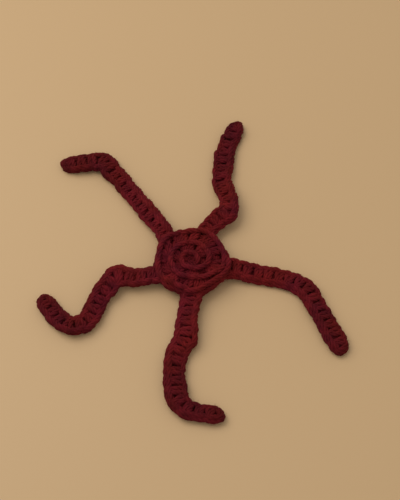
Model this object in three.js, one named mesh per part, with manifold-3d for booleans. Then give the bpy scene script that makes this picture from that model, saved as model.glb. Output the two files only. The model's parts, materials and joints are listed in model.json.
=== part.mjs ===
// A crocheted brittle star in worsted-weight yarn, lying on a flat surface.
// Millimetres, +Z up. The origin is the middle of the disc's underside, on the surface it rests on.
import * as THREE from "three";
import { mergeVertices } from "three/addons/utils/BufferGeometryUtils.js";
import Module from "manifold-3d";

const wasm = await Module();
wasm.setup();

// Gauge of the crochet
const rowHeight = 5.3; // one round of single crochet, measured outwards from the middle
const fabricThickness = 4.6; // one layer of single crochet
const stripWidth = 8.8; // the starting chain and the one row of stitches worked back along it
const touchGap = 0.3; // kept between pieces that touch
const restingFlat = 0.15; // how far a stitch that bears on the surface is pressed flat

// Stitches in each round of the disc, from the middle outwards
const roundStitches = [6, 12, 18];
const firstRoundRadius = 3.8; // where the first round's top edge lies
const ridges = roundStitches.map((stitches, i) => firstRoundRadius + i * rowHeight);
const rimRadius = 16.0;
const rimPull = 1.5; // how much further out the rim is where an arm pulls at it
const rimPullReach = 0.45; // radians to either side of the arm
const seamHeight = 4.8; // the two layers of the disc meet here
const discHeight = 9.6;

// Facets
const sectionSides = 12;
const ringsPerStitch = 3;
const discSegments = 72; // four to each stitch of the last round

// Relief that the stitches give the form
const ribRelief = 0.09; // share of the half thickness
const edgeRelief = 0.06; // share of the half width
const discRelief = 0.28;

const stitchesPerArm = 15;
const rootFlare = 0.35; // share by which an arm widens where it runs into the rim
const rootFlareReach = 4.5;

// Each arm's middle line, every 4 to 12 mm from the rim of the disc out to the tip: x, y, the height
// of its lowest edge over the surface, its roll in degrees (positive to the left, going out) and its
// width there as a share of stripWidth, as the stitches bunch at a bend.
// lengths: how many stitches lie in the base, the middle and the tip. tipLength: the stretch that tapers.
const arms = [
  {
    name: "arm_1",
    lengths: [5, 7, 3],
    tipLength: 7,
    route: [
      [-10.2, 10.2, 2.6, 0, 0.96],
      [-13.7, 18.4, 1.6, -22, 0.86],
      [-20.3, 27.6, 0.8, -34, 0.93],
      [-27.3, 37.4, 0.2, -20, 0.9],
      [-34.2, 47.7, 0, -6, 1],
      [-38.8, 52.7, 0.4, 4, 1.12],
      [-41.9, 57.4, 0.9, 8, 1.36],
      [-45.6, 58.8, 0.8, 6, 1.34],
      [-50.6, 58.3, 0.4, 4, 1.19],
      [-57, 57.5, 0, 0, 1.11],
      [-63.6, 56.6, 0, 0, 0.98],
    ],
  },
  {
    name: "arm_2",
    lengths: [4, 5, 6],
    tipLength: 9,
    route: [
      [5.2, 10.8, 2.6, 0, 0.96],
      [7.7, 17.9, 2.8, 12, 0.91],
      [12.4, 22.8, 3.4, 16, 1],
      [17.1, 26.9, 3.8, 4, 1.11],
      [17.4, 32.8, 2.8, -16, 0.98],
      [16.1, 39, 1.4, -24, 0.95],
      [14.6, 46.4, 0.2, -14, 1.1],
      [15, 56.1, 0, -8, 1.11],
      [16.9, 66.7, 0, -4, 1.07],
      [20.2, 76.1, 0, 0, 1.03],
      [23.2, 83.3, 0, 0, 0.92],
    ],
  },
  {
    name: "arm_3",
    lengths: [4, 4, 7],
    tipLength: 5,
    route: [
      [13.5, -3, 2.6, 0, 1.04],
      [22, -3.7, 1.6, 8, 1.04],
      [30.7, -5.5, 0.6, 16, 0.99],
      [39.5, -7.4, 0.2, 12, 0.94],
      [46.8, -9.9, 0, 6, 1.07],
      [51.7, -13.4, 0.2, 0, 1.06],
      [54.1, -18.8, 0.1, -8, 0.99],
      [58.4, -27.4, 0, -12, 1.04],
      [62.7, -36.5, 0, -4, 1.06],
      [65.6, -44.8, 0, 0, 0.99],
    ],
  },
  {
    name: "arm_4",
    lengths: [5, 6, 4],
    tipLength: 3.5,
    route: [
      [0.8, -13.5, 2.6, 0, 1.03],
      [-0.7, -21.6, 1.6, 14, 1.08],
      [-1.9, -30, 0.8, 24, 1.14],
      [-3, -38.6, 0.4, 6, 1.37],
      [-6, -44.8, 0.1, -10, 1.08],
      [-7.2, -52.6, 0.2, -18, 1.1],
      [-6.7, -60, 0.6, -10, 1.13],
      [-6, -66.4, 0.7, 0, 1.12],
      [-1.8, -70.8, 0.4, -2, 0.92],
      [4.6, -72.6, 0, -8, 0.8],
      [13.4, -73.7, 0, -10, 0.81],
    ],
  },
  {
    name: "arm_5",
    lengths: [4, 6, 5],
    tipLength: 5,
    route: [
      [-10.6, -5.6, 2.6, 0, 0.97],
      [-18.7, -7, 2.2, 0, 0.96],
      [-26.4, -7.9, 2, -4, 1.03],
      [-33.4, -7.2, 2.2, -8, 1.24],
      [-37.3, -11.7, 1.8, -10, 1.05],
      [-41.2, -18.7, 0.8, -14, 1],
      [-44.1, -25.9, 0.4, -8, 1.04],
      [-47.9, -30.4, 0.6, 0, 1.02],
      [-52.5, -31.6, 0.8, 6, 0.97],
      [-58.1, -28.3, 0.3, 8, 0.91],
      [-62.9, -22.7, 0, 8, 0.9],
      [-67.1, -16.9, 0, 8, 0.86],
    ],
  },
];

const yarnColour = "#5e1a24";

function yarnMaterial() {
  return new THREE.MeshStandardMaterial({ color: yarnColour, roughness: 0.95, metalness: 0 });
}

// A closed geometry as a solid that can be cut.
function solidFrom(geometry) {
  const bare = geometry.clone();
  bare.deleteAttribute("normal");
  bare.deleteAttribute("uv");
  const merged = mergeVertices(bare, 1e-3);
  const mesh = new wasm.Mesh({
    numProp: 3,
    vertProperties: new Float32Array(merged.attributes.position.array),
    triVerts: new Uint32Array(merged.index.array),
  });
  return new wasm.Manifold(mesh);
}

function geometryFrom(solid) {
  const mesh = solid.getMesh();
  const geometry = new THREE.BufferGeometry();
  geometry.setAttribute("position", new THREE.BufferAttribute(mesh.vertProperties, 3));
  geometry.setIndex(new THREE.BufferAttribute(mesh.triVerts, 1));
  geometry.computeVertexNormals();
  return geometry;
}

// Half the height that a strip of this width takes up when it is rolled by this angle.
function halfHeight(width, roll) {
  return Math.hypot((width / 2) * Math.sin(roll), (fabricThickness / 2) * Math.cos(roll));
}

// The arm's middle line, with its roll and width share at any share of its length.
function armLine(arm) {
  const rolls = arm.route.map((point) => THREE.MathUtils.degToRad(point[3]));
  const widths = arm.route.map((point) => point[4]);
  const points = arm.route.map(([x, y, lift], i) => {
    const raised = lift + halfHeight(widths[i] * stripWidth, rolls[i]) - restingFlat;
    return new THREE.Vector3(x, y, raised);
  });
  const curve = new THREE.CatmullRomCurve3(points, false, "centripetal");
  const between = (values, share) => {
    const place = curve.getUtoTmapping(share) * (values.length - 1);
    const before = Math.min(Math.floor(place), values.length - 2);
    return THREE.MathUtils.lerp(values[before], values[before + 1], place - before);
  };
  return {
    curve,
    length: curve.getLength(),
    rollAt: (share) => between(rolls, share),
    widthAt: (share) => between(widths, share),
  };
}

// Where a point of the strip lies: across and above are measured in the turned cross section.
function placeOnStrip(line, distance, across, above) {
  const share = THREE.MathUtils.clamp(distance / line.length, 0, 1);
  const tangent = line.curve.getTangentAt(share);
  const left = new THREE.Vector3(0, 0, 1).cross(tangent).normalize();
  const upward = tangent.clone().cross(left);
  const roll = line.rollAt(share);
  left.applyAxisAngle(tangent, roll);
  upward.applyAxisAngle(tangent, roll);
  const wide = across * line.widthAt(share);
  return line.curve.getPointAt(share).addScaledVector(left, wide).addScaledVector(upward, above);
}

// One length of an arm: a flattened round bar with a swelling at every stitch.
function stripLength(arm, line, firstStitch, lastStitch) {
  const pitch = line.length / stitchesPerArm;
  const start = firstStitch * pitch + (firstStitch > 0 ? touchGap / 2 : 0);
  const end = lastStitch * pitch - (lastStitch < stitchesPerArm ? touchGap / 2 : 0);
  const rings = (lastStitch - firstStitch) * ringsPerStitch;
  const form = new THREE.CylinderGeometry(1, 1, 1, sectionSides, rings);
  const positions = form.getAttribute("position");
  const squareness = 0.78; // 1 is a plain ellipse, less is boxier
  const bluntness = 0.34; // share of the section left at the very tip
  for (let i = 0; i < positions.count; i++) {
    const sideways = positions.getX(i);
    const upwards = -positions.getZ(i);
    const distance = THREE.MathUtils.lerp(start, end, positions.getY(i) + 0.5);
    const crest = Math.cos(2 * Math.PI * (distance / pitch - 0.5));
    const toTip = Math.min((line.length - distance) / arm.tipLength, 1);
    const taper = Math.max(Math.sqrt(Math.max(toTip * (2 - toTip), 0)), bluntness);
    const flare = 1 + rootFlare * Math.exp(-((distance / rootFlareReach) ** 2));
    const halfWidth = (stripWidth / 2) * (1 + edgeRelief * crest) * taper * flare;
    const halfThickness = (fabricThickness / 2) * (1 + ribRelief * crest) * taper;
    const across = Math.sign(sideways) * Math.abs(sideways) ** squareness * halfWidth;
    const above = Math.sign(upwards) * Math.abs(upwards) ** squareness * halfThickness;
    const place = placeOnStrip(line, distance, across, above);
    positions.setXYZ(i, place.x, place.y, place.z);
  }
  return form;
}

// How far the arms pull the rim of the disc out in this direction.
function pulledOut(turn) {
  return arms.reduce((sum, arm) => {
    const [x, y] = arm.route[0];
    const away = turn - Math.atan2(y, x);
    const offset = Math.atan2(Math.sin(away), Math.cos(away));
    return sum + rimPull * Math.exp(-((offset / rimPullReach) ** 2));
  }, 0);
}

// A form turned from its profile, with its last round pulled out towards the arms.
function turnedForm(profile) {
  const points = profile.map(([radius, height]) => new THREE.Vector2(radius, height));
  const form = new THREE.LatheGeometry(points, discSegments);
  form.rotateX(Math.PI / 2);
  const positions = form.getAttribute("position");
  for (let i = 0; i < positions.count; i++) {
    const x = positions.getX(i);
    const y = positions.getY(i);
    const radius = Math.hypot(x, y);
    const share = THREE.MathUtils.clamp((radius - ridges[1]) / (ridges[2] - ridges[1]), 0, 1);
    if (share > 0) {
      const grown = 1 + (share * pulledOut(Math.atan2(y, x))) / radius;
      positions.setXY(i, x * grown, y * grown);
    }
  }
  return form;
}

// One layer of the disc, dimpled by the stitches of its three rounds.
function discLayer(profile) {
  const form = turnedForm(profile);
  const positions = form.getAttribute("position");
  for (let i = 0; i < positions.count; i++) {
    const x = positions.getX(i);
    const y = positions.getY(i);
    const z = positions.getZ(i);
    const turn = Math.atan2(y, x);
    const radius = Math.hypot(x, y);
    const beforePull = radius - pulledOut(turn);
    if (beforePull > rimRadius - 1) {
      const stitches = roundStitches[roundStitches.length - 1];
      const grown = 1 + (discRelief * Math.cos(stitches * turn)) / radius;
      positions.setXY(i, x * grown, y * grown);
    } else if (z > seamHeight) {
      const round = [radius, radius, beforePull].findIndex((r, k) => Math.abs(r - ridges[k]) < 0.1);
      if (round >= 0) {
        positions.setZ(i, z + discRelief * Math.cos(roundStitches[round] * turn));
      }
    }
  }
  return form;
}

// Profiles are radius and height, from the axis round the outside and back to the axis.
const seamRadius = rimRadius - 1.2;
const lowerTop = seamHeight - touchGap / 2;
const upperBottom = seamHeight + touchGap / 2;

const lowerProfile = [
  [0, 0],
  [ridges[0] + 1.4, 0],
  [ridges[0] + 2.6, 0.6],
  [ridges[1] - 1.2, 0],
  [ridges[1] + 1.4, 0],
  [ridges[1] + 2.6, 0.6],
  [ridges[2] - 1.2, 0],
  [ridges[2] + 0.2, 0],
  [rimRadius - 0.6, 1.3],
  [rimRadius, 2.6],
  [rimRadius - 0.5, 3.9],
  [seamRadius, lowerTop],
  [0, lowerTop],
];

const upperProfile = [
  [0, upperBottom],
  [seamRadius, upperBottom],
  [rimRadius - 0.5, 5.7],
  [rimRadius, 6.9],
  [rimRadius - 0.6, 8.0],
  [ridges[2], discHeight - 0.7],
  [ridges[2] - rowHeight / 2, discHeight - 0.8],
  [ridges[1], discHeight - 0.1],
  [ridges[1] - rowHeight / 2, discHeight - 0.8],
  [ridges[0], discHeight - 0.3],
  [1.5, discHeight - 1.6],
  [0, discHeight - 1.9],
];

// The room the disc needs, so that an arm starts just clear of the rim.
const clearanceProfile = [
  [0, -1],
  [ridges[2] + 0.2, -1],
  [rimRadius - 0.2, 1.2],
  [rimRadius + discRelief + touchGap, 2.6],
  [rimRadius + discRelief + touchGap, 6.9],
  [rimRadius - 0.2, 8.3],
  [ridges[2], discHeight],
  [0, discHeight],
];

const brittleStar = new THREE.Group();
brittleStar.name = "crocheted_brittle_star";

function addPiece(name, geometry) {
  const mesh = new THREE.Mesh(geometry, yarnMaterial());
  mesh.name = name;
  brittleStar.add(mesh);
}

addPiece("disc_lower_layer", discLayer(lowerProfile));
addPiece("disc_upper_layer", discLayer(upperProfile));

const discRoom = solidFrom(turnedForm(clearanceProfile));
const surfaceDepth = 10;
const underSurface = solidFrom(
  new THREE.BoxGeometry(400, 400, surfaceDepth).translate(0, 0, -surfaceDepth / 2),
);

for (const arm of arms) {
  const line = armLine(arm);
  let firstStitch = 0;
  ["base", "middle", "tip"].forEach((part, i) => {
    const lastStitch = firstStitch + arm.lengths[i];
    let solid = solidFrom(stripLength(arm, line, firstStitch, lastStitch));
    if (part === "base") {
      solid = solid.subtract(discRoom);
    }
    solid = solid.subtract(underSurface);
    addPiece(`${arm.name}_${part}`, geometryFrom(solid));
    firstStitch = lastStitch;
  });
}

export default brittleStar;
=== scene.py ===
# A brittle star crocheted in dark burgundy worsted yarn, lying on a pale floor.
# The fixed frame holds its solids. Here each of them is replaced by crochet, laid stitch by stitch.
import json
import math

import bpy
import numpy as np
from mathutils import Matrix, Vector

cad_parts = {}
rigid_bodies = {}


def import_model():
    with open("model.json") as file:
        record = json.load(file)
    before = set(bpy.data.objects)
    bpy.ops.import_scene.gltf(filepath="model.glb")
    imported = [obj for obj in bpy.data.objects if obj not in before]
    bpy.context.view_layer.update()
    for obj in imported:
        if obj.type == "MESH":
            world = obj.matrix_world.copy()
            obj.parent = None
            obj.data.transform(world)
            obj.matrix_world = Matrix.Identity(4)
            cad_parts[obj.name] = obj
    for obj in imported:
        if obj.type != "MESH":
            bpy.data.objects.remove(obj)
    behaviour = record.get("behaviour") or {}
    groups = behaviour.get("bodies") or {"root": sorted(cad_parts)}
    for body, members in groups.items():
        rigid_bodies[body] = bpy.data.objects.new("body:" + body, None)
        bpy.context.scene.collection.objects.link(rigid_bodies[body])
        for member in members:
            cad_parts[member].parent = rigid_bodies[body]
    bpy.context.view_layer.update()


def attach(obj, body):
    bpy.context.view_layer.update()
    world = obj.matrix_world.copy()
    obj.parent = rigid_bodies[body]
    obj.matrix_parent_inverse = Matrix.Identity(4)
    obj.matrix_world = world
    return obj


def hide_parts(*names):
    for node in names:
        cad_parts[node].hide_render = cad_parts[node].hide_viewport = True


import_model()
linkObject = bpy.context.scene.collection.objects.link
mm = 0.001

# What every piece of the crochet shares
yarn = {
    "radius": 1.28 * mm,
    "plies": 4,
    "plyOrbit": 0.54,  # a ply's middle from the yarn's, as a share of the yarn's radius
    "plyRadius": 0.48,  # touching plies would have 0.41 of it, and soft ones spread a little further
    "twistLength": 9.0 * mm,  # one turn of the plies round each other
    "step": 0.6 * mm,  # between the rings of a ply
    "waver": 0.1 * mm,  # how far the yarn is off its path from bend to bend
    "unevenness": 0.35 * mm,  # how far the hand that made it is off from stitch to stitch
}

fuzz = {
    "fibresPerSquareCentimetre": 50,
    "length": 1.4 * mm,
    "sizes": (0.4, 1.25),  # the shortest and the longest, as shares of that length
    "radius": 0.02 * mm,  # twice a real fibre's, or none would show
    "segments": 2,
    "sides": 3,
    # A fibre's curve for a length of 1: its start, two handles and its end
    "bend": [(0, 0, 0), (0.06, 0, 0.33), (0.24, 0, 0.62), (0.5, 0, 0.84)],
    "tilt": 60.0,  # degrees from upright, at most
    "outermost": 0.1,  # fibres leave a ply where it faces away from the yarn's core by more than this
    "spinSeed": 11,
    "sizeSeed": 23,
    "patch": 0.003,  # how large each fibre is on the map that its colours are baked on
}

samplesPerStitch = 6
marginStitches = 2  # the rails run on this far past both ends

# The named inputs of the trees below, each with its kind of socket
layingInputs = {
    "Samples per stitch": "Int",
    "Margin": "Int",
    "Waver": "Float",
    "Unevenness": "Float",
    "Seed": "Int",
}
twistInputs = {
    "Plies": "Int",
    "Ply orbit": "Float",
    "Ply radius": "Float",
    "Twist length": "Float",
    "Step": "Float",
    "Ply sides": "Int",
}
fuzzInputs = {
    "Fibres per square metre": "Float",
    "Fibre length": "Float",
    "Fibre radius": "Float",
    "Fibre segments": "Int",
    "Fibre sides": "Int",
    "Tilt": "Float",
    "Seed": "Int",
}
vector = {"data_type": "FLOAT_VECTOR"}  # a setting that many nodes share


def addNode(tree, kind, settings=None, values=None):
    # values maps an input's name, or its place among those in use, to a value, an output or a list of
    # outputs. The node's first output in use comes back, and the node is its .node.
    node = tree.nodes.new(kind)
    for name, value in (settings or {}).items():
        setattr(node, name, value)
    inUse = [socket for socket in node.inputs if socket.enabled]
    for key, value in (values or {}).items():
        socket = inUse[key] if isinstance(key, int) else next(s for s in inUse if s.name == key)
        if isinstance(value, (list, bpy.types.NodeSocket)):
            for source in value if isinstance(value, list) else [value]:
                tree.links.new(source, socket)
        else:
            socket.default_value = value
    return next((socket for socket in node.outputs if socket.enabled), None)


def newGroup(name, inputs):
    tree = bpy.data.node_groups.new(name, "GeometryNodeTree")
    for label, kind in inputs.items():
        tree.interface.new_socket(name=label, in_out="INPUT", socket_type="NodeSocket" + kind)
    tree.interface.new_socket(name="Geometry", in_out="OUTPUT", socket_type="NodeSocketGeometry")
    return tree, tree.nodes.new("NodeGroupInput").outputs


def layStitchesTree():
    # Copies of one stitch's yarn path follow a pair of rails, and join into one strand
    rowInputs = {"Rails": "Object", "Stitch shape": "Object", "Stitches": "Int"}
    tree, given = newGroup("layStitches", {**rowInputs, **layingInputs})
    rails = addNode(tree, "GeometryNodeObjectInfo", None, {"Object": given["Rails"]})
    rails = rails.node.outputs["Geometry"]
    shape = addNode(tree, "GeometryNodeObjectInfo", None, {"Object": given["Stitch shape"]})
    shape = shape.node.outputs["Geometry"]
    starts = addNode(tree, "GeometryNodeMeshLine", None, {"Count": given["Stitches"], "Offset": (0, 0, 0)})
    copies = addNode(tree, "GeometryNodeInstanceOnPoints", None, {"Points": starts, "Instance": shape})
    points = addNode(tree, "GeometryNodeRealizeInstances", None, {"Geometry": copies})

    index = addNode(tree, "GeometryNodeInputIndex")
    pointsEach = addNode(tree, "GeometryNodeAttributeDomainSize", None, {"Geometry": shape})
    stitch = addNode(tree, "ShaderNodeMath", {"operation": "DIVIDE"}, {0: index, 1: pointsEach})
    stitch = addNode(tree, "ShaderNodeMath", {"operation": "FLOOR"}, {0: stitch})
    spot = addNode(tree, "GeometryNodeInputPosition")
    along = addNode(tree, "ShaderNodeSeparateXYZ", None, {0: spot})
    upRow = along.node.outputs["Y"]
    outwards = along.node.outputs["Z"]
    run = addNode(tree, "ShaderNodeMath", {"operation": "ADD"}, {0: stitch, 1: along})
    run = addNode(tree, "ShaderNodeMath", {"operation": "ADD"}, {0: run, 1: given["Margin"]})
    run = addNode(tree, "ShaderNodeMath", {"operation": "MULTIPLY"}, {0: run, 1: given["Samples per stitch"]})
    before = addNode(tree, "ShaderNodeMath", {"operation": "FLOOR"}, {0: run})
    after = addNode(tree, "ShaderNodeMath", {"operation": "ADD"}, {0: before, 1: 1.0})
    share = addNode(tree, "ShaderNodeMath", {"operation": "SUBTRACT"}, {0: run, 1: before})

    found = {}
    for name in ("lowerEdge", "upperEdge", "outward"):
        value = addNode(tree, "GeometryNodeInputNamedAttribute", vector, {"Name": name})
        nearest = [
            addNode(
                tree,
                "GeometryNodeSampleIndex",
                {**vector, "clamp": True},
                {"Geometry": rails, "Value": value, "Index": at},
            )
            for at in (before, after)
        ]
        ends = {"A": nearest[0], "B": nearest[1]}
        found[name] = addNode(tree, "ShaderNodeMix", {"data_type": "VECTOR"}, {"Factor": share, **ends})
    # Extrapolated, because a leg starts below its row and a loop passes over it
    place = addNode(
        tree,
        "ShaderNodeMix",
        {"data_type": "VECTOR", "clamp_factor": False},
        {"Factor": upRow, "A": found["lowerEdge"], "B": found["upperEdge"]},
    )
    proud = addNode(tree, "ShaderNodeVectorMath", {"operation": "SCALE"}, {0: found["outward"], 1: outwards})
    place = addNode(tree, "ShaderNodeVectorMath", {"operation": "ADD"}, {0: place, 1: proud})
    # The yarn strays from bend to bend, and the hand from stitch to stitch
    draw = {"Min": (-1, -1, -1), "Max": (1, 1, 1), "Seed": given["Seed"]}
    strayed = addNode(tree, "FunctionNodeRandomValue", vector, {**draw, "ID": index})
    strayed = addNode(tree, "ShaderNodeVectorMath", {"operation": "SCALE"}, {0: strayed, 1: given["Waver"]})
    looser = addNode(tree, "FunctionNodeRandomValue", vector, {**draw, "ID": stitch})
    looser = addNode(
        tree, "ShaderNodeVectorMath", {"operation": "SCALE"}, {0: looser, 1: given["Unevenness"]}
    )
    strayed = addNode(tree, "ShaderNodeVectorMath", {"operation": "ADD"}, {0: strayed, 1: looser})
    laid = addNode(
        tree, "GeometryNodeSetPosition", None, {"Geometry": points, "Position": place, "Offset": strayed}
    )
    laid = addNode(tree, "GeometryNodeMeshToPoints", None, {"Mesh": laid})
    strand = addNode(tree, "GeometryNodePointsToCurves", None, {"Points": laid, "Weight": index})
    strand = addNode(tree, "GeometryNodeCurveSplineType", {"spline_type": "CATMULL_ROM"}, {"Curve": strand})
    addNode(tree, "NodeGroupOutput", None, {0: strand})
    return tree


def twistPliesTree():
    # A strand becomes the plies that are twisted into it
    tree, given = newGroup("twistPlies", {"Strand": "Geometry", **twistInputs})
    strand = addNode(
        tree,
        "GeometryNodeResampleCurve",
        {"mode": "LENGTH"},
        {"Curve": given["Strand"], "Length": given["Step"]},
    )
    plies = addNode(
        tree,
        "GeometryNodeDuplicateElements",
        {"domain": "SPLINE"},
        {"Geometry": strand, "Amount": given["Plies"]},
    )
    plyNumber = plies.node.outputs["Duplicate Index"]
    length = addNode(tree, "GeometryNodeSplineParameter").node.outputs["Length"]
    turns = addNode(tree, "ShaderNodeMath", {"operation": "DIVIDE"}, {0: length, 1: given["Twist length"]})
    share = addNode(tree, "ShaderNodeMath", {"operation": "DIVIDE"}, {0: plyNumber, 1: given["Plies"]})
    turns = addNode(tree, "ShaderNodeMath", {"operation": "ADD"}, {0: turns, 1: share})
    angle = addNode(tree, "ShaderNodeMath", {"operation": "MULTIPLY"}, {0: turns, 1: 2 * math.pi})
    tangent = addNode(tree, "GeometryNodeInputTangent")
    normal = addNode(tree, "GeometryNodeInputNormal")
    sideways = addNode(tree, "ShaderNodeVectorMath", {"operation": "CROSS_PRODUCT"}, {0: tangent, 1: normal})
    cosine = addNode(tree, "ShaderNodeMath", {"operation": "COSINE"}, {0: angle})
    sine = addNode(tree, "ShaderNodeMath", {"operation": "SINE"}, {0: angle})
    across = addNode(tree, "ShaderNodeVectorMath", {"operation": "SCALE"}, {0: normal, 1: cosine})
    around = addNode(tree, "ShaderNodeVectorMath", {"operation": "SCALE"}, {0: sideways, 1: sine})
    way = addNode(tree, "ShaderNodeVectorMath", {"operation": "ADD"}, {0: across, 1: around})
    offset = addNode(tree, "ShaderNodeVectorMath", {"operation": "SCALE"}, {0: way, 1: given["Ply orbit"]})
    plies = addNode(tree, "GeometryNodeSetPosition", None, {"Geometry": plies, "Offset": offset})
    plies = addNode(
        tree, "GeometryNodeStoreNamedAttribute", vector, {"Geometry": plies, "Name": "way", "Value": way}
    )
    index = addNode(tree, "GeometryNodeInputIndex")
    plies = addNode(
        tree,
        "GeometryNodeStoreNamedAttribute",
        {"data_type": "INT"},
        {"Geometry": plies, "Name": "ring", "Value": index},
    )
    profile = addNode(
        tree,
        "GeometryNodeCurvePrimitiveCircle",
        None,
        {"Resolution": given["Ply sides"], "Radius": given["Ply radius"]},
    )
    profile = addNode(
        tree,
        "GeometryNodeStoreNamedAttribute",
        {"data_type": "INT"},
        {"Geometry": profile, "Name": "side", "Value": index},
    )
    tube = addNode(
        tree, "GeometryNodeCurveToMesh", None, {"Curve": plies, "Profile Curve": profile, "Fill Caps": True}
    )
    addNode(tree, "NodeGroupOutput", None, {0: tube})
    return tree


def addFuzzTree():
    # Loose fibres that stand off the yarn
    tree, given = newGroup("addFuzz", {"Yarn": "Geometry", **fuzzInputs})
    # They come from the side of a ply that faces away from the yarn's core
    way = addNode(tree, "GeometryNodeInputNamedAttribute", vector, {"Name": "way"})
    normal = addNode(tree, "GeometryNodeInputNormal")
    facing = addNode(tree, "ShaderNodeVectorMath", {"operation": "DOT_PRODUCT"}, {0: way, 1: normal})
    facing = addNode(
        tree, "FunctionNodeCompare", {"operation": "GREATER_THAN"}, {"A": facing, "B": fuzz["outermost"]}
    )
    roots = addNode(
        tree,
        "GeometryNodeDistributePointsOnFaces",
        None,
        {
            "Mesh": given["Yarn"],
            "Selection": facing,
            "Density": given["Fibres per square metre"],
            "Seed": given["Seed"],
        },
    )
    upright = roots.node.outputs["Rotation"]
    length = addNode(
        tree,
        "ShaderNodeCombineXYZ",
        None,
        {0: given["Fibre length"], 1: given["Fibre length"], 2: given["Fibre length"]},
    )
    start, startHandle, endHandle, end = fuzz["bend"]
    bend = addNode(
        tree,
        "GeometryNodeCurvePrimitiveBezierSegment",
        {"mode": "POSITION"},
        {
            "Resolution": given["Fibre segments"],
            "Start": start,
            "Start Handle": startHandle,
            "End Handle": endHandle,
            "End": end,
        },
    )
    bend = addNode(tree, "GeometryNodeTransform", None, {"Geometry": bend, "Scale": length})
    profile = addNode(
        tree,
        "GeometryNodeCurvePrimitiveCircle",
        None,
        {"Resolution": given["Fibre sides"], "Radius": given["Fibre radius"]},
    )
    index = addNode(tree, "GeometryNodeInputIndex")
    bend, profile = [
        addNode(
            tree,
            "GeometryNodeStoreNamedAttribute",
            {"data_type": kind},
            {"Geometry": geometry, "Name": name, "Value": index},
        )
        for geometry, name, kind in ((bend, "fibreLength", "FLOAT"), (profile, "fibreSide", "INT"))
    ]
    fibre = addNode(tree, "GeometryNodeCurveToMesh", None, {"Curve": bend, "Profile Curve": profile})
    fibre = addNode(
        tree, "GeometryNodeStoreNamedAttribute", None, {"Geometry": fibre, "Name": "loose", "Value": 1.0}
    )
    tilt = addNode(tree, "ShaderNodeMath", {"operation": "RADIANS"}, {0: given["Tilt"]})
    tilt = addNode(
        tree, "FunctionNodeRandomValue", None, {"Min": 0.0, "Max": tilt, "ID": index, "Seed": given["Seed"]}
    )
    spin = addNode(
        tree,
        "FunctionNodeRandomValue",
        None,
        {"Min": 0.0, "Max": 2 * math.pi, "ID": index, "Seed": fuzz["spinSeed"]},
    )
    turn = addNode(tree, "ShaderNodeCombineXYZ", None, {"Z": spin})
    turn = addNode(tree, "FunctionNodeEulerToRotation", None, {0: turn})
    lean = addNode(tree, "ShaderNodeCombineXYZ", None, {"Y": tilt})
    lean = addNode(tree, "FunctionNodeEulerToRotation", None, {0: lean})
    pose = addNode(
        tree,
        "FunctionNodeRotateRotation",
        {"rotation_space": "LOCAL"},
        {"Rotation": upright, "Rotate By": turn},
    )
    pose = addNode(
        tree, "FunctionNodeRotateRotation", {"rotation_space": "LOCAL"}, {"Rotation": pose, "Rotate By": lean}
    )
    size = addNode(
        tree,
        "FunctionNodeRandomValue",
        None,
        {"Min": fuzz["sizes"][0], "Max": fuzz["sizes"][1], "ID": index, "Seed": fuzz["sizeSeed"]},
    )
    fibres = addNode(
        tree,
        "GeometryNodeInstanceOnPoints",
        None,
        {"Points": roots, "Instance": fibre, "Rotation": pose, "Scale": size},
    )
    fibres = addNode(tree, "GeometryNodeRealizeInstances", None, {"Geometry": fibres})
    both = addNode(tree, "GeometryNodeJoinGeometry", None, {0: [given["Yarn"], fibres]})
    addNode(tree, "NodeGroupOutput", None, {0: both})
    return tree


layStitches = layStitchesTree()
twistPlies = twistPliesTree()
addFuzz = addFuzzTree()


def crochetTree(name, rowNames):
    # One strand for each row of the piece, all of them twisted, fuzzed and pressed flat where they lie
    inputs = {**layingInputs, **twistInputs, **fuzzInputs, "Yarn material": "Material"}
    for row in rowNames:
        inputs[row + " rails"] = "Object"
        inputs[row + " stitch shape"] = "Object"
        inputs[row + " stitches"] = "Int"
    tree, given = newGroup(name, inputs)

    def passOn(labels):
        return {label: given[label] for label in labels}

    strands = []
    for row in rowNames:
        values = {
            "Rails": given[row + " rails"],
            "Stitch shape": given[row + " stitch shape"],
            "Stitches": given[row + " stitches"],
            **passOn(layingInputs),
        }
        strands.append(addNode(tree, "GeometryNodeGroup", {"node_tree": layStitches}, values))
    strands = addNode(tree, "GeometryNodeJoinGeometry", None, {0: strands})
    plies = addNode(
        tree, "GeometryNodeGroup", {"node_tree": twistPlies}, {"Strand": strands, **passOn(twistInputs)}
    )
    fuzzed = addNode(tree, "GeometryNodeGroup", {"node_tree": addFuzz}, {"Yarn": plies, **passOn(fuzzInputs)})
    spot = addNode(tree, "GeometryNodeInputPosition")
    resting = addNode(tree, "ShaderNodeVectorMath", {"operation": "MAXIMUM"}, {0: spot, 1: (-1, -1, 0)})
    pressed = addNode(tree, "GeometryNodeSetPosition", None, {"Geometry": fuzzed, "Position": resting})
    pressed = addNode(tree, "GeometryNodeSetShadeSmooth", None, {"Geometry": pressed})
    pressed = addNode(tree, "GeometryNodeRealizeInstances", None, {"Geometry": pressed})
    pressed = addNode(
        tree, "GeometryNodeSetMaterial", None, {"Geometry": pressed, "Material": given["Yarn material"]}
    )
    addNode(tree, "NodeGroupOutput", None, {0: pressed})
    return tree


print("stage: node trees built")

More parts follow.
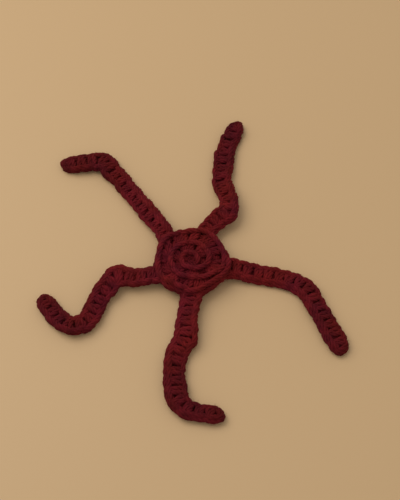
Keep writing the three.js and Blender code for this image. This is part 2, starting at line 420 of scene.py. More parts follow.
# Yarn paths of one stitch. Along the row it runs in stitches, up the row in row heights, outwards in
# millimetres from the middle of the fabric.
singleCrochet = [
    (-0.52, 0.93, 0.36), (-0.3, 1.1, 0.72), (0.12, 1.06, 0.86), (0.55, 0.96, 0.64), (0.72, 0.9, 0),
    (0.55, 0.96, -0.64), (0.12, 1.06, -0.86), (-0.32, 1.1, -0.72), (-0.64, 0.93, -0.36),
    (-0.5, 0.72, -0.92), (0, 0.25, -1.04), (0.39, -0.1, -0.56), (0.4, -0.12, 0.4),
    (0.37, 0.12, 1.08), (0.31, 0.48, 1.04), (0.28, 0.8, 0.76), (0.5, 1.02, 0), (0.73, 0.78, 0.76),
    (0.7, 0.48, 1.04), (0.64, 0.12, 1.08), (0.6, -0.12, 0.4), (0.6, -0.1, -0.56),
    (0.56, 0.45, -1.04), (0.5, 0.8, -0.72),
]
# The same stitch worked into the back loop alone, so that the front loop stays standing as a ridge
ridgedCrochet = [
    (-0.5, 0.9, 0.6), (-0.34, 0.91, 1.35), (-0.02, 0.92, 1.75), (0.36, 0.9, 1.6), (0.66, 0.88, 0.6),
    (0.7, 0.95, -0.35), (0.3, 1.06, -0.7), (-0.2, 1.08, -0.65), (-0.62, 0.93, -0.4),
    (-0.5, 0.72, -0.9), (0, 0.3, -1), (0.38, 0, -1), (0.38, -0.04, -0.6), (0.35, 0.16, -0.35),
    (0.32, 0.46, -0.05), (0.3, 0.78, 0.1), (0.48, 0.98, -0.1), (0.7, 0.78, 0.1),
    (0.68, 0.46, -0.05), (0.64, 0.16, -0.35), (0.62, -0.04, -0.6), (0.6, 0, -1), (0.56, 0.45, -1),
    (0.5, 0.8, -0.7),
]
chainStitch = [
    (0.05, -0.3, 0.3), (0.4, -0.76, 0.62), (0.9, -0.84, 0.42), (1.2, -0.45, -0.2),
    (1.2, 0.45, -0.2), (0.9, 0.84, 0.42), (0.4, 0.76, 0.62), (0.02, 0.3, 0.2), (-0.05, 0.15, -0.6),
    (0.35, 0, -1.05), (0.8, -0.1, -1),
]
# A plain thread drawn round, such as the ring that the first round is worked into
runningThread = [(0, 0, 0), (0.33, 0, 0), (0.67, 0, 0)]
# The yarn's tail, woven to and fro behind a row
wovenTail = [
    (-0.15, 0.1, 0), (-0.11, 0.9, 0), (0, 1.05, -0.1), (0.11, 0.9, 0), (0.15, 0.1, 0),
    (0.5, -0.05, -0.3),
]


def shapeObject(name, points):
    # Outwards in metres, so that it adds straight onto a place
    mesh = bpy.data.meshes.new(name)
    mesh.from_pydata([(u, v, n * mm) for u, v, n in points], [], [])
    shape = bpy.data.objects.new(name, mesh)
    linkObject(shape)
    return shape


def railsObject(name, lowerEdge, upperEdge, outward):
    mesh = bpy.data.meshes.new(name)
    mesh.vertices.add(len(lowerEdge))
    mesh.vertices.foreach_set("co", np.asarray(lowerEdge, np.float32).ravel())
    for label, values in (("lowerEdge", lowerEdge), ("upperEdge", upperEdge), ("outward", outward)):
        attribute = mesh.attributes.new(label, "FLOAT_VECTOR", "POINT")
        attribute.data.foreach_set("vector", np.asarray(values, np.float32).ravel())
    rails = bpy.data.objects.new(name, mesh)
    linkObject(rails)
    return rails


singleCrochetShape = shapeObject("singleCrochetShape", singleCrochet)
ridgedCrochetShape = shapeObject("ridgedCrochetShape", ridgedCrochet)
chainShape = shapeObject("chainShape", chainStitch)
threadShape = shapeObject("threadShape", runningThread)
tailShape = shapeObject("tailShape", wovenTail)

# What the arms share, in millimetres where it says nothing else
armStrip = {
    "width": 8.8,
    "thickness": 4.6,
    "restingFlat": 0.15,  # how far the yarn is pressed flat where it bears on the surface
    "stitches": 15,
    "rootFlare": 0.15,  # share by which an arm widens where it joins the disc
    "rootFlareReach": 4.5,
    "bluntness": 0.34,  # share of the width that is left at the very tip
    "edgePlay": 0.1,  # kept clear at the edges, as the yarn wavers
    "leastHalf": 0.95,  # half the strip is at least this wide between the yarns' middles
    "rowFoot": 1.3,  # the row is worked into the chain, this far in from the edge
    "leastFoot": 0.1,  # and no nearer the strip's middle than this
    "chainInset": 0.4,  # how far in from the edge the chain runs
    "chainTurn": 45.0,  # degrees that the starting chain leans up from the edge
    "tipMargin": 2.6,  # the turning chain at the very tip
    "tipBow": 0.55,  # share of that by which the chain bows out
    "tipSink": 1.2,  # how deep inside the tip the row's yarn begins
    "tipRise": 0.5,  # stitches before the first one, over which it comes up
    "tipPinch": 0.75,  # share by which the row is narrower there
    "tipStart": 0.15,  # how far past the first stitch it begins, in stitches
    "tailReach": 0.68,  # how far to either side the tail is woven in, as a share of half the width
    "tailDepth": 0.75,  # how far the tail lies behind the middle of the row
    "plySides": 8,
    "firstSeed": 31,
}
# The arms' routes, as the solids have them, from the rim out: x, y and lift in millimetres, roll in degrees,
# and the width there as a share of the strip's. The tip's length is the stretch that tapers.
arms = {
    "arm_1": {
        "tipLength": 7,
        "route": [
            (-10.2, 10.2, 2.6, 0, 0.96), (-13.7, 18.4, 1.6, -22, 0.86), (-20.3, 27.6, 0.8, -34, 0.93),
            (-27.3, 37.4, 0.2, -20, 0.9), (-34.2, 47.7, 0, -6, 1), (-38.8, 52.7, 0.4, 4, 1.12),
            (-41.9, 57.4, 0.9, 8, 1.36), (-45.6, 58.8, 0.8, 6, 1.34), (-50.6, 58.3, 0.4, 4, 1.19),
            (-57, 57.5, 0, 0, 1.11), (-63.6, 56.6, 0, 0, 0.98),
        ],
    },
    "arm_2": {
        "tipLength": 9,
        "route": [
            (5.2, 10.8, 2.6, 0, 0.96), (7.7, 17.9, 2.8, 12, 0.91), (12.4, 22.8, 3.4, 16, 1),
            (17.1, 26.9, 3.8, 4, 1.11), (17.4, 32.8, 2.8, -16, 0.98), (16.1, 39, 1.4, -24, 0.95),
            (14.6, 46.4, 0.2, -14, 1.1), (15, 56.1, 0, -8, 1.11), (16.9, 66.7, 0, -4, 1.07),
            (20.2, 76.1, 0, 0, 1.03), (23.2, 83.3, 0, 0, 0.92),
        ],
    },
    "arm_3": {
        "tipLength": 5,
        "route": [
            (13.5, -3, 2.6, 0, 1.04), (22, -3.7, 1.6, 8, 1.04), (30.7, -5.5, 0.6, 16, 0.99),
            (39.5, -7.4, 0.2, 12, 0.94), (46.8, -9.9, 0, 6, 1.07), (51.7, -13.4, 0.2, 0, 1.06),
            (54.1, -18.8, 0.1, -8, 0.99), (58.4, -27.4, 0, -12, 1.04), (62.7, -36.5, 0, -4, 1.06),
            (65.6, -44.8, 0, 0, 0.99),
        ],
    },
    "arm_4": {
        "tipLength": 3.5,
        "route": [
            (0.8, -13.5, 2.6, 0, 1.03), (-0.7, -21.6, 1.6, 14, 1.08), (-1.9, -30, 0.8, 24, 1.14),
            (-3, -38.6, 0.4, 6, 1.37), (-6, -44.8, 0.1, -10, 1.08), (-7.2, -52.6, 0.2, -18, 1.1),
            (-6.7, -60, 0.6, -10, 1.13), (-6, -66.4, 0.7, 0, 1.12), (-1.8, -70.8, 0.4, -2, 0.92),
            (4.6, -72.6, 0, -8, 0.8), (13.4, -73.7, 0, -10, 0.81),
        ],
    },
    "arm_5": {
        "tipLength": 5,
        "route": [
            (-10.6, -5.6, 2.6, 0, 0.97), (-18.7, -7, 2.2, 0, 0.96), (-26.4, -7.9, 2, -4, 1.03),
            (-33.4, -7.2, 2.2, -8, 1.24), (-37.3, -11.7, 1.8, -10, 1.05), (-41.2, -18.7, 0.8, -14, 1),
            (-44.1, -25.9, 0.4, -8, 1.04), (-47.9, -30.4, 0.6, 0, 1.02), (-52.5, -31.6, 0.8, 6, 0.97),
            (-58.1, -28.3, 0.3, 8, 0.91), (-62.9, -22.7, 0, 8, 0.9), (-67.1, -16.9, 0, 8, 0.86),
        ],
    },
}


def unit(vectors):
    return vectors / np.linalg.norm(vectors, axis=-1, keepdims=True)


def armSpine(route):
    # The arm's middle line, a centripetal curve through its route, with its roll and width
    samplesPerSpan = 60
    x, y, lift, roll, width = np.array(route, float).T
    roll = np.radians(roll)
    raised = np.hypot(width * armStrip["width"] / 2 * np.sin(roll), armStrip["thickness"] / 2 * np.cos(roll))
    knots = np.stack([x, y, lift + raised - armStrip["restingFlat"]], 1)
    ends = np.vstack([2 * knots[0] - knots[1], knots, 2 * knots[-1] - knots[-2]])
    places, rolls, widths = [], [], []
    t = np.arange(samplesPerSpan)[:, None] / samplesPerSpan
    for i in range(len(knots) - 1):
        a, b, c, d = ends[i : i + 4]
        gaps = [np.linalg.norm(q - p) ** 0.5 for p, q in ((a, b), (b, c), (c, d))]
        leave = (b - a) / gaps[0] - (c - a) / (gaps[0] + gaps[1]) + (c - b) / gaps[1]
        reach = (c - b) / gaps[1] - (d - b) / (gaps[1] + gaps[2]) + (d - c) / gaps[2]
        leave, reach = leave * gaps[1], reach * gaps[1]
        places.append(
            b
            + leave * t
            + (3 * (c - b) - 2 * leave - reach) * t**2
            + (2 * (b - c) + leave + reach) * t**3
        )
        rolls.append(roll[i] + (roll[i + 1] - roll[i]) * t[:, 0])
        widths.append(width[i] + (width[i + 1] - width[i]) * t[:, 0])
    places = np.vstack([*places, knots[-1:]])
    rolls = np.concatenate([*rolls, roll[-1:]])
    widths = np.concatenate([*widths, width[-1:]])
    lengths = np.concatenate([[0], np.cumsum(np.linalg.norm(np.diff(places, axis=0), axis=1))])
    return {"places": places, "rolls": rolls, "widths": widths, "lengths": lengths, "length": lengths[-1]}


def onStrip(spine, distance, across, above):
    # Places in millimetres, and the directions up out of the strip there. The strip runs straight on past
    # both ends of the arm, because the rails do.
    kept = np.clip(distance, 0, spine["length"])

    def middle(d):
        d = np.clip(d, 0, spine["length"])
        return np.stack([np.interp(d, spine["lengths"], spine["places"][:, k]) for k in range(3)], 1)

    near = 0.4  # mm ahead and behind, which give the direction
    along = unit(middle(kept + near) - middle(kept - near))
    at = middle(kept) + along * (distance - kept)[:, None]
    left = unit(np.cross([0, 0, 1], along))
    up = np.cross(along, left)
    roll = np.interp(kept, spine["lengths"], spine["rolls"])[:, None]
    left, up = left * np.cos(roll) + up * np.sin(roll), up * np.cos(roll) - left * np.sin(roll)
    wide = across * np.interp(kept, spine["lengths"], spine["widths"])
    return at + left * wide[:, None] + up * above, up


def halfWidth(arm, spine, distance):
    # Half the strip's width, less the half strand that lies outside the yarn's middle
    toTip = np.clip((spine["length"] - distance) / arm["tipLength"], 0, 1)
    taper = np.maximum(np.sqrt(toTip * (2 - toTip)), armStrip["bluntness"])
    flare = 1 + armStrip["rootFlare"] * np.exp(-((distance / armStrip["rootFlareReach"]) ** 2))
    half = armStrip["width"] / 2 * taper * flare
    return np.maximum(half - yarn["radius"] / mm - armStrip["edgePlay"], armStrip["leastHalf"])


def stitchRun(stitches):
    # The places of a row's samples, in stitches
    first, last = -marginStitches, stitches + marginStitches
    return np.arange(first * samplesPerStitch, last * samplesPerStitch + 1) / samplesPerStitch


def armRails(name, arm):
    spine = armSpine(arm["route"])
    stitches = armStrip["stitches"]
    worked = spine["length"] - armStrip["tipMargin"]
    chainPitch = worked / stitches
    # The stitches are worked from the tip back to the disc, and the yarn comes up from inside the tip
    run = stitchRun(stitches)
    inTip = np.clip(-run / armStrip["tipRise"], 0, 1)
    above = -armStrip["tipSink"] * inTip[:, None]
    distance = worked * (1 - np.maximum(run, -armStrip["tipStart"]) / stitches)
    half = halfWidth(arm, spine, distance)
    foot = np.maximum(half - armStrip["rowFoot"], armStrip["leastFoot"])
    top = (half - armStrip["edgePlay"]) * (1 - armStrip["tipPinch"] * inTip)
    lower, up = onStrip(spine, distance, -foot, above)
    upper, _ = onStrip(spine, distance, top, above)
    row = railsObject(name + "_rowRails", lower * mm, upper * mm, up)
    # The starting chain runs out along the other edge and turns up at the tip
    run = stitchRun(stitches + 1)
    turn = np.clip(run - stitches, 0, 1)
    distance = np.minimum(run, stitches) * chainPitch
    half = halfWidth(arm, spine, distance)
    bow = armStrip["tipMargin"] * armStrip["tipBow"]
    distance = distance + bow * np.sin(np.pi * turn) - np.maximum(run - stitches - 1, 0) * chainPitch
    across = -(half - armStrip["chainInset"]) * np.cos(np.pi * turn)
    centre, up = onStrip(spine, distance, across, 0)
    path = unit(np.gradient(centre, axis=0))
    side = unit(np.cross(path, up))
    lean = math.radians(armStrip["chainTurn"])
    front = side * math.cos(lean) + up * math.sin(lean)
    lateral = np.cross(front, path)
    chain = railsObject(name + "_chainRails", centre * mm, (centre + lateral) * mm, front)
    # The yarn's tail is woven in behind the row, which closes the holes between the stitches
    distance = stitchRun(stitches) * chainPitch
    reach = armStrip["tailReach"] * halfWidth(arm, spine, distance)
    lower, up = onStrip(spine, distance, -reach, -armStrip["tailDepth"])
    upper, _ = onStrip(spine, distance, reach, -armStrip["tailDepth"])
    tail = railsObject(name + "_tailRails", lower * mm, upper * mm, up)
    return row, chain, tail


armTree = crochetTree("crochetedArm", ["Row", "Chain", "Tail"])


def meshArray(items, label, kind):
    values = np.empty(len(items), kind)
    items.foreach_get(label, values)
    return values


def addMaps(mesh, plySides):
    # yarnRun: millimetres along the plies, and turns round them. OFBake: the plies' rings side by side, in
    # rows that are as high as a ply is round, with each loose fibre as a small patch at its root.
    rowGap = 0.06  # share of a row's height left clear at either side of it
    capRadius = 0.4  # a ply's end is a disc of this radius, in rows
    corners = meshArray(mesh.loops, "vertex_index", np.int32)
    starts = meshArray(mesh.polygons, "loop_start", np.int32)
    totals = meshArray(mesh.polygons, "loop_total", np.int32)
    isCap = np.repeat(totals != 4, totals)

    def onCorners(name, kind):
        return meshArray(mesh.attributes[name].data, "value", kind)[corners]

    def turnsOf(name, sides):
        # Where a face closes a tube, its side goes on past the last one, not back to 0
        side = onCorners(name, np.int32)
        spread = np.maximum.reduceat(side, starts) - np.minimum.reduceat(side, starts)
        closes = np.repeat(spread > 1, totals) & ~isCap
        return np.where(closes & (side == 0), sides, side) / sides

    ring = onCorners("ring", np.int32)
    around = turnsOf("side", plySides)
    ringCount = ring.max() + 1
    girth = 2 * math.pi * yarn["plyRadius"] * yarn["radius"]
    rows = math.ceil(math.sqrt(ringCount * yarn["step"] / girth))
    ringsPerRow = math.ceil(ringCount / rows)
    row = np.repeat(np.minimum.reduceat(ring, starts), totals) // ringsPerRow
    angle = 2 * np.pi * around
    along = ring - row * ringsPerRow + np.where(isCap, capRadius * np.sin(angle), 0)
    across = np.where(isCap, 0.5 + capRadius * np.cos(angle), rowGap + (1 - 2 * rowGap) * around)
    bake = np.stack([along / ringsPerRow, (row + across) / rows], 1)
    spot = np.stack([turnsOf("fibreSide", fuzz["sides"]), onCorners("fibreLength", np.float32)], 1) - 0.5
    bake += np.where(onCorners("loose", np.float32)[:, None] > 0.5, fuzz["patch"] * spot, 0)
    run = np.stack([ring * yarn["step"] / mm, around], 1)
    for label, places in (("OFBake", bake.clip(0, 1)), ("yarnRun", run)):
        layer = mesh.uv_layers.new(name=label, do_init=False)
        layer.uv.foreach_set("vector", places.astype(np.float32).ravel())
    for label in ("ring", "side", "way", "fibreLength", "fibreSide", "id"):
        mesh.attributes.remove(mesh.attributes[label])


def crochetPiece(name, tree, rows, seed, plySides, material):
    # rows maps each row's name to its rails, stitch shape and number of stitches
    mesh = bpy.data.meshes.new(name + "_guide")
    guide = bpy.data.objects.new(name + "_guide", mesh)
    linkObject(guide)
    modifier = guide.modifiers.new("crochet", "NODES")
    modifier.node_group = tree
    values = {
        "Samples per stitch": samplesPerStitch,
        "Margin": marginStitches,
        "Waver": yarn["waver"],
        "Unevenness": yarn["unevenness"],
        "Plies": yarn["plies"],
        "Ply orbit": yarn["plyOrbit"] * yarn["radius"],
        "Ply radius": yarn["plyRadius"] * yarn["radius"],
        "Twist length": yarn["twistLength"],
        "Step": yarn["step"],
        "Ply sides": plySides,
        "Fibres per square metre": fuzz["fibresPerSquareCentimetre"] * 1e4,
        "Fibre length": fuzz["length"],
        "Fibre radius": fuzz["radius"],
        "Fibre segments": fuzz["segments"],
        "Fibre sides": fuzz["sides"],
        "Tilt": fuzz["tilt"],
        "Seed": seed,
        "Yarn material": material,
    }
    for row, (rails, shape, stitches) in rows.items():
        values[row + " rails"] = rails
        values[row + " stitch shape"] = shape
        values[row + " stitches"] = stitches
    identifiers = {item.name: item.identifier for item in tree.interface.items_tree if item.in_out == "INPUT"}
    for label, value in values.items():
        modifier[identifiers[label]] = value
    evaluated = guide.evaluated_get(bpy.context.evaluated_depsgraph_get())
    plain = bpy.data.meshes.new_from_object(evaluated)
    plain.name = name
    addMaps(plain, plySides)
    bpy.data.objects.remove(guide)
    piece = bpy.data.objects.new(name, plain)
    linkObject(piece)
    print("stage:", name, "made,", len(plain.loops) - 2 * len(plain.polygons), "triangles")
    return piece


def linear(colour):
    # An sRGB hex colour as linear values
    channels = [int(colour[i : i + 2], 16) / 255 for i in (1, 3, 5)]
    return (*[c / 12.92 if c <= 0.04045 else ((c + 0.055) / 1.055) ** 2.4 for c in channels], 1)


yarnLook = {
    "deep": "#3b0910",  # where the fibres lie close
    "open": "#85202a",  # where they stand up
    "plum": "#590f2b",
    "brick": "#721a14",
    "loose": "#902e35",  # single fibres let light through
    "endShade": 0.7,  # painted shade: how light the arms' ends are, next to the disc
    "endShadeFrom": 26 * mm,
    "endShadeTo": 78 * mm,
    "streakPitch": 0.16,  # mm between fibres round a ply, eight times the real one, or none would show
    "streakLength": 2.4,  # mm
    "streakRange": (0.35, 0.65),  # the noise's values between the deep and the open colour
    "fibreSlant": 26.0,  # degrees across the ply, so that they run along the yarn
    "heatherSize": 5.0,  # mm, the patches in which the fibres lie closer
    "heatherRange": (0.36, 0.64),
    "heatherShare": 0.5,  # and the rest of the lightness comes from the streaks
    "dyeSize": 12.5,  # mm, the patches between plum and brick
    "dyeRange": (0.35, 0.65),
    "dyeShare": 0.35,  # how much of the colour is plum or brick
    "roughness": (0.98, 0.8),  # where the fibres lie close, and where they stand up
    "roughnessRange": (0.3, 0.7),
    "specular": 0.12,
    "sheen": 0.15,
    "sheenRoughness": 0.5,
    "sheenTint": "#c0565c",
    "bumpHeight": 0.12 * mm,
}


def yarnMaterial():
    # Worsted acrylic, spun and plied: matt, in streaks of fibres that run along the yarn, unevenly dyed, with
    # a faint warm bloom where the loose fibres catch the light from the side
    look = yarnLook
    material = bpy.data.materials.new("pliedAcrylicWorsted")
    material.use_nodes = True
    tree = material.node_tree
    tree.nodes.clear()
    run = addNode(tree, "ShaderNodeUVMap", {"uv_map": "yarnRun"})
    run = addNode(tree, "ShaderNodeSeparateXYZ", None, {0: run})
    along, around = run.node.outputs["X"], run.node.outputs["Y"]
    plyRadius = yarn["plyRadius"] * yarn["radius"] / mm
    slant = math.tan(math.radians(look["fibreSlant"])) / (2 * math.pi * plyRadius)
    turned = addNode(tree, "ShaderNodeMath", {"operation": "MULTIPLY_ADD"}, {0: along, 1: slant, 2: around})
    turned = addNode(tree, "ShaderNodeMath", {"operation": "MULTIPLY"}, {0: turned, 1: 2 * math.pi})
    spot = [addNode(tree, "ShaderNodeMath", {"operation": "DIVIDE"}, {0: along, 1: look["streakLength"]})]
    for way in ("COSINE", "SINE"):
        part = addNode(tree, "ShaderNodeMath", {"operation": way}, {0: turned})
        part = addNode(
            tree, "ShaderNodeMath", {"operation": "MULTIPLY"}, {0: part, 1: plyRadius / look["streakPitch"]}
        )
        spot.append(part)
    spot = addNode(tree, "ShaderNodeCombineXYZ", None, {0: spot[0], 1: spot[1], 2: spot[2]})
    streaks = addNode(
        tree, "ShaderNodeTexNoise", None, {"Vector": spot, "Scale": 1.0, "Detail": 2.0, "Roughness": 0.6}
    )
    inObject = addNode(tree, "ShaderNodeTexCoord").node.outputs["Object"]
    heather = addNode(
        tree,
        "ShaderNodeTexNoise",
        None,
        {"Vector": inObject, "Scale": 1 / (look["heatherSize"] * mm), "Detail": 2.0, "Roughness": 0.55},
    )
    dye = addNode(
        tree,
        "ShaderNodeTexNoise",
        None,
        {"Vector": inObject, "Scale": 1 / (look["dyeSize"] * mm), "Detail": 1.0},
    )

    # How far the fibres stand up sets how light the yarn is
    low, high = look["streakRange"]
    span = {"From Min": low, "From Max": high}
    streaked = addNode(tree, "ShaderNodeMapRange", None, {"Value": streaks, **span})
    low, high = look["heatherRange"]
    span = {"From Min": low, "From Max": high}
    mottled = addNode(tree, "ShaderNodeMapRange", None, {"Value": heather, **span})
    lightness = addNode(
        tree, "ShaderNodeMix", None, {"Factor": look["heatherShare"], "A": streaked, "B": mottled}
    )
    inColour = {"data_type": "RGBA"}
    ends = {"A": linear(look["deep"]), "B": linear(look["open"])}
    colour = addNode(tree, "ShaderNodeMix", inColour, {"Factor": lightness, **ends})
    low, high = look["dyeRange"]
    tint = addNode(tree, "ShaderNodeMapRange", None, {"Value": dye, "From Min": low, "From Max": high})
    ends = {"A": linear(look["plum"]), "B": linear(look["brick"])}
    tint = addNode(tree, "ShaderNodeMix", inColour, {"Factor": tint, **ends})
    colour = addNode(tree, "ShaderNodeMix", inColour, {"Factor": look["dyeShare"], "A": colour, "B": tint})
    loose = addNode(tree, "ShaderNodeAttribute", {"attribute_name": "loose"}).node.outputs["Fac"]
    ends = {"A": colour, "B": linear(look["loose"])}
    colour = addNode(tree, "ShaderNodeMix", inColour, {"Factor": loose, **ends})
    # Painted shade: the yarn is darker towards the arms' ends, with distance from the disc's middle
    distance = addNode(tree, "ShaderNodeVectorMath", {"operation": "LENGTH"}, {0: inObject})
    endShade = addNode(
        tree,
        "ShaderNodeMapRange",
        {"interpolation_type": "SMOOTHSTEP"},
        {
            "Value": distance,
            "From Min": look["endShadeFrom"],
            "From Max": look["endShadeTo"],
            "To Min": 1.0,
            "To Max": look["endShade"],
        },
    )
    colour = addNode(tree, "ShaderNodeVectorMath", {"operation": "SCALE"}, {0: colour, "Scale": endShade})
    low, high = look["roughnessRange"]
    rough, smooth = look["roughness"]
    roughness = addNode(
        tree,
        "ShaderNodeMapRange",
        None,
        {"Value": streaks, "From Min": low, "From Max": high, "To Min": rough, "To Max": smooth},
    )
    bump = addNode(
        tree, "ShaderNodeBump", None, {"Height": streaks, "Distance": look["bumpHeight"], "Strength": 1.0}
    )
    shader = addNode(
        tree,
        "ShaderNodeBsdfPrincipled",
        None,
        {
            "Base Color": colour,
            "Roughness": roughness,
            "Normal": bump,
            "Specular IOR Level": look["specular"],
            "Sheen Weight": look["sheen"],
            "Sheen Roughness": look["sheenRoughness"],
            "Sheen Tint": linear(look["sheenTint"]),
        },
    )
    addNode(tree, "ShaderNodeOutputMaterial", None, {"Surface": shader})
    return material


burgundyYarn = yarnMaterial()

pieces = []
for i, (name, arm) in enumerate(arms.items()):
    row, chain, tail = armRails(name, arm)
    rows = {
        "Row": (row, singleCrochetShape, armStrip["stitches"]),
        "Chain": (chain, chainShape, armStrip["stitches"] + 1),
        "Tail": (tail, tailShape, armStrip["stitches"]),
    }
    seed = armStrip["firstSeed"] + i
    piece = crochetPiece(name + "_crochet", armTree, rows, seed, armStrip["plySides"], burgundyYarn)
    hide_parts(name + "_base", name + "_middle", name + "_tip")
    pieces.append(piece)

# The disc: two layers of rounds, front sides out, joined round the rim. In millimetres, angles in radians.
disc = {
    "rounds": [6, 12, 18],  # stitches in each round, from the middle out
    "firstRadius": 4.2,
    "rowHeight": 5.3,
    "steppingUp": 0.3,  # share of a round over which it steps up to the next one
    "climb": 0.06,  # share of a row's height that it climbs on its way round
    "holeRadius": 1.7,
    "bunching": [0, 0.2, 0.16],  # how far two stitches in one hole lean together, in stitches, round by round
    "sharedHole": 0.13,  # how far from the middle of its hole each of the two is worked, in stitches
    "ringStitches": 6,
    "upperRing": (1.4, 6.3),  # radius and height of the thread that the first round is worked into
    "lowerRing": (2.0, 3.6),
    "height": 9.6,
    "rimStitches": 18,
    "rimRadius": 14.9,
    "rimPull": 1.5,  # how much further out the rim is where an arm pulls at it
    "rimPullReach": 0.45,  # to either side of the arm
    "startsAt": 0.18,  # from the x axis, where the rounds begin
    "upperOffCentre": (-0.6, -0.8),  # how far each layer's first round is from the disc's middle
    "lowerOffCentre": (0, 0),
    # Radius and height of the middle of each layer's fabric
    "upperProfile": [(0, 6.7), (2.2, 6.7), (4.2, 6.75), (9.5, 7.0), (12.6, 6.8), (14.7, 6.3), (15.8, 5.6)],
    "lowerProfile": [(0, 3.3), (2.2, 2.9), (4.2, 2.4), (9.5, 2.4), (12.6, 2.5), (14.7, 3.1), (15.8, 4.0)],
    "fillingRadii": (0.3, 13.5),
    "fillingPitch": 2.2,
    "fillingMiddle": (0.8, 0.4, 4.7),
    "fillingStitches": 32,
    "plySides": 6,
    "firstSeed": 71,
}


def roundsTurned(run):
    # How many rounds have been turned at each place of the run of stitches
    rounds = disc["rounds"]
    starts = np.cumsum([0, *rounds])
    # Past both ends it goes on as in the first and the last round
    past = 10
    knots = [-past, *starts, starts[-1] + past]
    turns = [-past / rounds[0], *range(len(starts)), len(rounds) + past / rounds[-1]]
    leaned = np.array(run, float)
    for i, bunching in enumerate(disc["bunching"]):
        inRound = (run >= starts[i]) & (run < starts[i + 1])
        group = i + 1  # the last two stitches of each group share a hole
        part = np.mod(run - starts[i], group) - (group - 2)
        leaned += np.where(inRound & (part > 0), bunching * np.sin(np.pi * part), 0)
    return np.interp(leaned, knots, turns)


def topRadius(turns):
    # Each round nearly keeps its radius, and steps up to the next one over its last stitches
    climb = disc["climb"]
    lastRound = len(disc["rounds"]) - 1
    whole = np.clip(np.floor(turns), 0, lastRound)
    part = np.clip(turns - whole, 0, 1)
    step = np.clip((part - 1) / disc["steppingUp"] + 1, 0, 1)
    step = step * step * (3 - 2 * step)
    rise = climb * part + np.where(whole == lastRound, 0, (1 - climb) * step)
    return disc["firstRadius"] + disc["rowHeight"] * (whole + rise - climb / 2)


def pulledOut(angle):
    # How far the arms pull the rim out at each angle
    pull = 0.0
    for arm in arms.values():
        away = angle - math.atan2(arm["route"][0][1], arm["route"][0][0])
        offset = np.arctan2(np.sin(away), np.cos(away))
        pull = pull + disc["rimPull"] * np.exp(-((offset / disc["rimPullReach"]) ** 2))
    return pull


def parentOf(run):
    # The place in the round before that a stitch is worked into. Where two go into one, they share its hole.
    parent = np.zeros(len(run))
    starts = np.cumsum([0, *disc["rounds"]])
    for i in range(1, len(disc["rounds"])):
        group = i + 1  # the last two stitches of each group share a hole
        whole = np.floor((run - starts[i]) / group)
        part = run - starts[i] - whole * group
        hole = i - 0.5
        shared = [hole - disc["sharedHole"], hole + disc["sharedHole"]]
        spots = [0, *[k + 0.5 for k in range(group - 2)], *shared, i]
        knots = [0, *[k + 0.5 for k in range(group)], group]
        place = starts[i - 1] + whole * i + np.interp(part, knots, spots)
        parent = np.where(run >= starts[i], place, parent)
    return parent


def discRails(name, side):
    # side is 1 for the upper layer and -1 for the lower one, whose front faces down
    run = stitchRun(sum(disc["rounds"]))
    radii, heights = np.array(disc[name + "Profile"], float).T
    offCentre = np.array(disc[name + "OffCentre"], float)
    secondRadius = disc["firstRadius"] + disc["rowHeight"]

    def spot(radius, turns):
        angle = side * 2 * np.pi * turns + disc["startsAt"]
        share = np.clip((radius - secondRadius) / disc["rowHeight"], 0, 1)
        pulled = radius + share * pulledOut(angle)
        x = pulled * np.cos(angle) + (1 - share) * offCentre[0]
        y = pulled * np.sin(angle) + (1 - share) * offCentre[1]
        return np.stack([x, y, np.interp(radius, radii, heights)], 1)

    turns = roundsTurned(run)
    upper = spot(topRadius(turns), turns)
    inFirst = run < disc["rounds"][0]
    parentTurns = np.where(inFirst, turns, roundsTurned(parentOf(run)))
    lower = spot(np.where(inFirst, disc["holeRadius"], topRadius(parentTurns)), parentTurns)
    # The fabric faces away from the slope of its profile
    middle = (lower + upper) / 2
    flat = np.linalg.norm(middle[:, :2], axis=1)
    near = 1.5  # mm in and out, which give the slope
    slope = (np.interp(flat + near, radii, heights) - np.interp(flat - near, radii, heights)) / (2 * near)
    outward = np.column_stack([-slope[:, None] * middle[:, :2] / flat[:, None], np.ones(len(run))])
    return railsObject(name + "_roundRails", lower * mm, upper * mm, unit(outward) * side)


def ringRails(name, stitches, radius, height, pull=0):
    # A ring round the axis, whose stitches face out. pull is how much it gives way to the arms.
    run = stitchRun(stitches)
    angle = 2 * np.pi * run / stitches
    out = np.stack([np.cos(angle), np.sin(angle), np.zeros(len(run))], 1)
    centre = out * (radius + pull * pulledOut(angle))[:, None] + np.array([0, 0, height])
    return railsObject(name + "_ringRails", centre * mm, (centre + np.array([0, 0, 1])) * mm, out)


def fillingRails():
    # The yarn's ends, coiled up between the layers so that the disc is plump and its holes aren't empty
    inner, outer = disc["fillingRadii"]
    run = stitchRun(disc["fillingStitches"])
    turns = (outer - inner) / disc["fillingPitch"] * run / disc["fillingStitches"]
    radius = inner + disc["fillingPitch"] * turns
    angle = 2 * np.pi * turns
    out = np.stack([np.cos(angle), np.sin(angle), np.zeros(len(run))], 1)
    centre = out * radius[:, None] + np.array(disc["fillingMiddle"])
    up = np.tile([0.0, 0.0, 1.0], (len(run), 1))
    return railsObject("fillingRails", centre * mm, (centre + out) * mm, up)


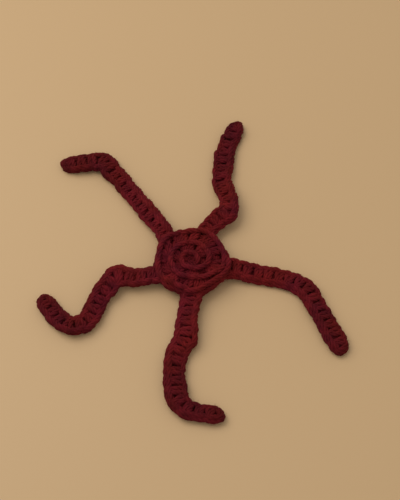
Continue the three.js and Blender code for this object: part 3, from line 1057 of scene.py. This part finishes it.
roundsTree = crochetTree("crochetedRounds", ["Rounds", "Ring"])
rimTree = crochetTree("crochetedRim", ["Rim", "Filling"])
paddedPieces = []
for i, (layer, side) in enumerate((("upper", 1), ("lower", -1))):
    # The thread's ends overlap by a stitch
    ring = ringRails(layer, disc["ringStitches"], *disc[layer + "Ring"])
    rows = {
        "Rounds": (discRails(layer, side), ridgedCrochetShape, sum(disc["rounds"])),
        "Ring": (ring, threadShape, disc["ringStitches"] + 1),
    }
    seed = disc["firstSeed"] + i
    piece = crochetPiece(f"disc_{layer}_crochet", roundsTree, rows, seed, disc["plySides"], burgundyYarn)
    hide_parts(f"disc_{layer}_layer")
    paddedPieces.append(piece)
rimRing = ringRails("rim", disc["rimStitches"], disc["rimRadius"], disc["height"] / 2, pull=1)
rows = {
    "Rim": (rimRing, chainShape, disc["rimStitches"]),
    "Filling": (fillingRails(), threadShape, disc["fillingStitches"]),
}
seed = disc["firstSeed"] + 2
rimPiece = crochetPiece("disc_rim_crochet", rimTree, rows, seed, disc["plySides"], burgundyYarn)
pieces += [*paddedPieces, rimPiece]

# The rails and the stitch shapes have done their work
for helper in [o for o in bpy.data.objects if "Rails" in o.name or o.name.endswith("Shape")]:
    bpy.data.objects.remove(helper)

for piece in pieces:
    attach(piece, "root")

# Floor, light and camera, in metres
studio = {
    "floorReach": 3,  # to every side of the middle
    "floorPaint": "#d2b892",
    "airColour": "#fff1e0",
    "airStrength": 0.5,
    "lampPlace": (-0.5, 0.3, 0.8),
    "lampSize": 0.8,
    "lampPower": 4.4,  # watts
    "lampColour": "#fff0dc",
    "cameraPlace": (0.0039, -0.2365, 0.3934),
    "cameraLooks": (0, 0.52992, -0.84805),  # a direction, 58 degrees down
    "lens": 48,  # mm
    "sensorHeight": 24,  # mm
    "nearest": 0.01,
}
reach = studio["floorReach"]
floorMesh = bpy.data.meshes.new("floor")
floorMesh.from_pydata(
    [(-reach, -reach, 0), (reach, -reach, 0), (reach, reach, 0), (-reach, reach, 0)], [], [(0, 1, 2, 3)]
)
floor = bpy.data.objects.new("floor", floorMesh)
linkObject(floor)
floorMaterial = bpy.data.materials.new("floorPaint")
floorMaterial.use_nodes = True
floorShader = floorMaterial.node_tree.nodes["Principled BSDF"]
floorShader.inputs["Base Color"].default_value = linear(studio["floorPaint"])
floorMesh.materials.append(floorMaterial)

world = bpy.data.worlds.new("studio")
world.use_nodes = True
air = world.node_tree.nodes["Background"]
air.inputs["Color"].default_value = linear(studio["airColour"])
air.inputs["Strength"].default_value = studio["airStrength"]
bpy.context.scene.world = world

lamp = bpy.data.lights.new("keyLamp", "AREA")
lamp.size = studio["lampSize"]
lamp.energy = studio["lampPower"]
lamp.color = linear(studio["lampColour"])[:3]
lampObject = bpy.data.objects.new("keyLamp", lamp)
lampObject.location = studio["lampPlace"]
lampObject.rotation_euler = (-Vector(studio["lampPlace"])).to_track_quat("-Z", "Y").to_euler()
linkObject(lampObject)

camera = bpy.data.cameras.new("camera")
camera.sensor_fit = "VERTICAL"
camera.sensor_height = studio["sensorHeight"]
camera.lens = studio["lens"]
camera.clip_start = studio["nearest"]
cameraObject = bpy.data.objects.new("camera", camera)
cameraObject.location = studio["cameraPlace"]
cameraObject.rotation_euler = Vector(studio["cameraLooks"]).to_track_quat("-Z", "Y").to_euler()
linkObject(cameraObject)
bpy.context.scene.camera = cameraObject
bpy.context.scene.view_settings.view_transform = "Standard"
print("stage: floor, light and camera made")
